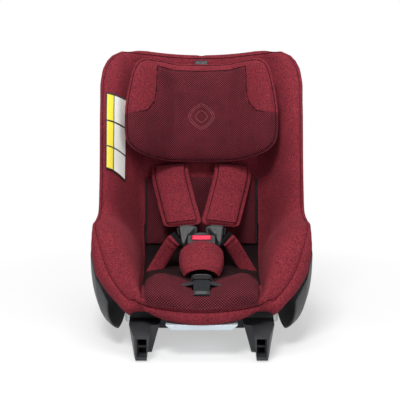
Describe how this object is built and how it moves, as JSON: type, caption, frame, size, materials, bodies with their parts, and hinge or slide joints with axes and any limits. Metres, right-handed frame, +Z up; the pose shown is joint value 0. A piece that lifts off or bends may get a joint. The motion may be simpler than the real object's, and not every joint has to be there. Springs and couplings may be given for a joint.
{
  "type": "convertible car seat",
  "caption": "Padded child car seat bucket with side wings, sliding headrest, harness with buckle, and a reclining base with sliding rear anchor arms.",
  "frame": {"origin": "on the floor plane, on the flat underside of the base plate, midway between the legs", "axes": "+Z up, -Y the way the child faces, +X to the right seen from the front"},
  "size_m": [0.4458, 0.53, 0.5471],
  "materials": {
    "melange_fabric": "woven melange",
    "spacer_mesh": "perforated mesh",
    "foam": "foam",
    "charcoal_plastic": "fine texture",
    "black_plastic": "satin",
    "webbing": "woven webbing",
    "steel": "satin",
    "pale_grey_plastic": "satin",
    "button_red": "gloss",
    "button_green": "gloss",
    "rubber": "matt",
    "label": "printed satin"
  },
  "bodies": {
    "base": {"base_leg_left": "charcoal_plastic", "base_leg_right": "charcoal_plastic", "base_plate": "charcoal_plastic", "base_front_wall": "charcoal_plastic", "base_bridge_front": "charcoal_plastic", "base_bridge_rear": "charcoal_plastic", "grip_strip_left": "rubber", "grip_strip_right": "rubber", "arm_guide_left": "steel", "arm_guide_right": "steel", "recline_rack": "steel"},
    "seat": {"seat_cover": "melange_fabric", "seat_shell": "charcoal_plastic", "wing_foam_left": "foam", "wing_foam_right": "foam", "side_trim_left": "charcoal_plastic", "side_trim_right": "charcoal_plastic", "seat_cushion": "spacer_mesh", "back_cushion": "spacer_mesh", "crotch_strap": "webbing", "crotch_pad": "melange_fabric", "buckle_housing": "black_plastic", "buckle_tongue_left": "steel", "buckle_tongue_right": "steel", "shoulder_strap_left": "webbing", "shoulder_strap_right": "webbing", "lap_strap_left": "webbing", "lap_strap_right": "webbing", "lap_pad_left": "melange_fabric", "lap_pad_right": "melange_fabric", "adjuster_bezel": "charcoal_plastic", "adjuster_strap": "webbing", "harness_yoke": "steel", "rear_strap_left": "webbing", "rear_strap_right": "webbing", "rear_pull_strap": "webbing", "rear_cover": "charcoal_plastic", "label_patch": "label", "recline_carriage": "charcoal_plastic", "carriage_runner_left": "black_plastic", "carriage_runner_right": "black_plastic"},
    "headrest": {"headrest_shell": "black_plastic", "headrest_pad": "melange_fabric", "headrest_carrier": "black_plastic", "shoulder_pad_left": "melange_fabric", "shoulder_pad_right": "melange_fabric"},
    "headrest_release": {"headrest_pull": "black_plastic"},
    "recline_grip": {"recline_handle": "pale_grey_plastic"},
    "recline_bolt": {"recline_latch": "steel"},
    "harness_lever": {"adjuster_lever": "black_plastic"},
    "buckle_release": {"buckle_button": "button_red"},
    "arm_left": {"anchor_arm_left": "steel", "anchor_connector_left": "black_plastic"},
    "arm_release_left": {"anchor_button_left": "button_green"},
    "hook_left": {"anchor_hook_left": "steel"},
    "arm_right": {"anchor_arm_right": "steel", "anchor_connector_right": "black_plastic"},
    "arm_release_right": {"anchor_button_right": "button_green"},
    "hook_right": {"anchor_hook_right": "steel"}
  },
  "joints": [
    {"name": "recline", "type": "hinge", "parent": "base", "child": "seat", "pos_m": [0, -0.01, 0.63], "axis": [-1, 0, 0], "range_deg": [0, 12]},
    {"name": "recline_handle_pull", "type": "slide", "parent": "seat", "child": "recline_grip", "axis": [0, -1, 0], "range_m": [0, 0.012], "stiffness_N_per_m": 900},
    {"name": "recline_bolt_slide", "type": "slide", "parent": "seat", "child": "recline_bolt", "axis": [0, -0.108, 0.9942], "range_m": [0, 0.003]},
    {"name": "headrest_height", "type": "slide", "parent": "seat", "child": "headrest", "axis": [0, 0.2823, 0.9593], "range_m": [0, 0.13], "deforming": ["shoulder_strap_left", "shoulder_strap_right"]},
    {"name": "headrest_release_pull", "type": "slide", "parent": "headrest", "child": "headrest_release", "axis": [0, 0.2823, 0.9593], "range_m": [0, 0.006], "stiffness_N_per_m": 700},
    {"name": "harness_release", "type": "hinge", "parent": "seat", "child": "harness_lever", "pos_m": [0, -0.177, 0.133], "axis": [1, 0, 0], "range_deg": [0, 12], "stiffness_Nm_per_rad": 0.4},
    {"name": "buckle_press", "type": "slide", "parent": "seat", "child": "buckle_release", "axis": [0, 0.456, -0.89], "range_m": [0, 0.0028], "stiffness_N_per_m": 900},
    {"name": "anchor_left_slide", "type": "slide", "parent": "base", "child": "arm_left", "axis": [0, 1, 0], "range_m": [0, 0.1]},
    {"name": "anchor_left_press", "type": "slide", "parent": "arm_left", "child": "arm_release_left", "axis": [0, 0, -1], "range_m": [0, 0.004], "stiffness_N_per_m": 700},
    {"name": "anchor_left_hook", "type": "hinge", "parent": "arm_left", "child": "hook_left", "pos_m": [-0.1422, 0.2535, 0.052], "axis": [-1, 0, 0], "range_deg": [0, 35]},
    {"name": "anchor_right_slide", "type": "slide", "parent": "base", "child": "arm_right", "axis": [0, 1, 0], "range_m": [0, 0.1]},
    {"name": "anchor_right_press", "type": "slide", "parent": "arm_right", "child": "arm_release_right", "axis": [0, 0, -1], "range_m": [0, 0.004], "stiffness_N_per_m": 700},
    {"name": "anchor_right_hook", "type": "hinge", "parent": "arm_right", "child": "hook_right", "pos_m": [0.1422, 0.2535, 0.052], "axis": [-1, 0, 0], "range_deg": [0, 35]}
  ],
  "couplings": [
    {"joint": "recline_bolt_slide", "follows": "recline_handle_pull", "ratio": 0.25}
  ]
}
